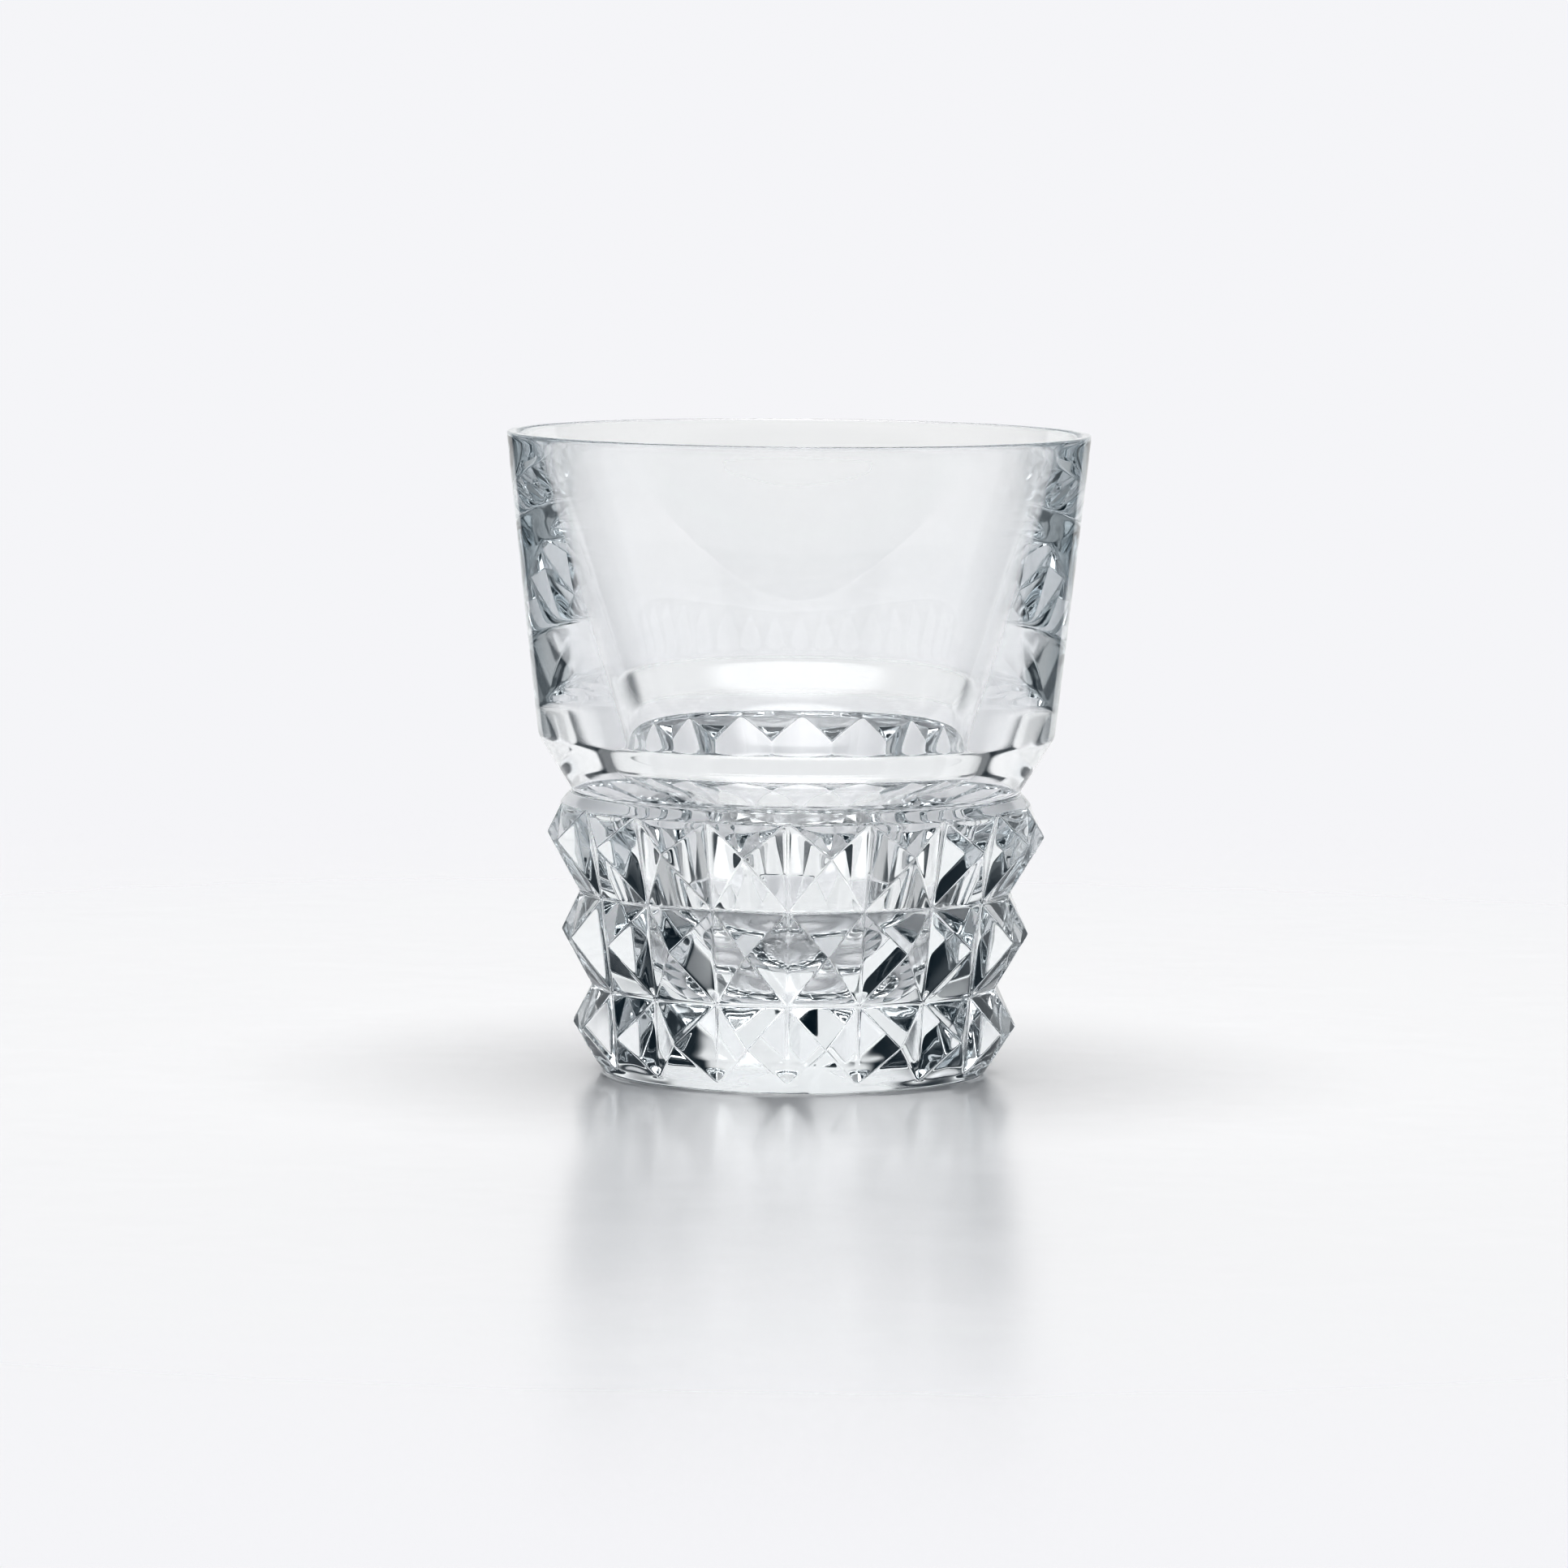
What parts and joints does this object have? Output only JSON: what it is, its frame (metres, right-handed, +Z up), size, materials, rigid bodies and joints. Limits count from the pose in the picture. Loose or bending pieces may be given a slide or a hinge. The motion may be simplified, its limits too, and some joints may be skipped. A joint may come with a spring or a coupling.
{
  "type": "whiskey tumbler",
  "caption": "Heavy crystal whiskey tumbler: a flared plain cup on a narrow waist over a thick base carved in three rows of pointed diamonds, with a narrower round-bottomed well inside the base.",
  "frame": {"origin": "middle of the foot's flat underside, the face the glass stands on", "axes": "+Z up along the glass's axis of symmetry; a valley between two columns of diamonds faces -Y"},
  "size_m": [0.089, 0.089, 0.0978],
  "materials": {
    "crystal": "clear colourless crystal glass, polished bright all over, cool grey in its depth"
  },
  "bodies": {
    "root": {"crystal_tumbler": "crystal"}
  },
  "joints": []
}
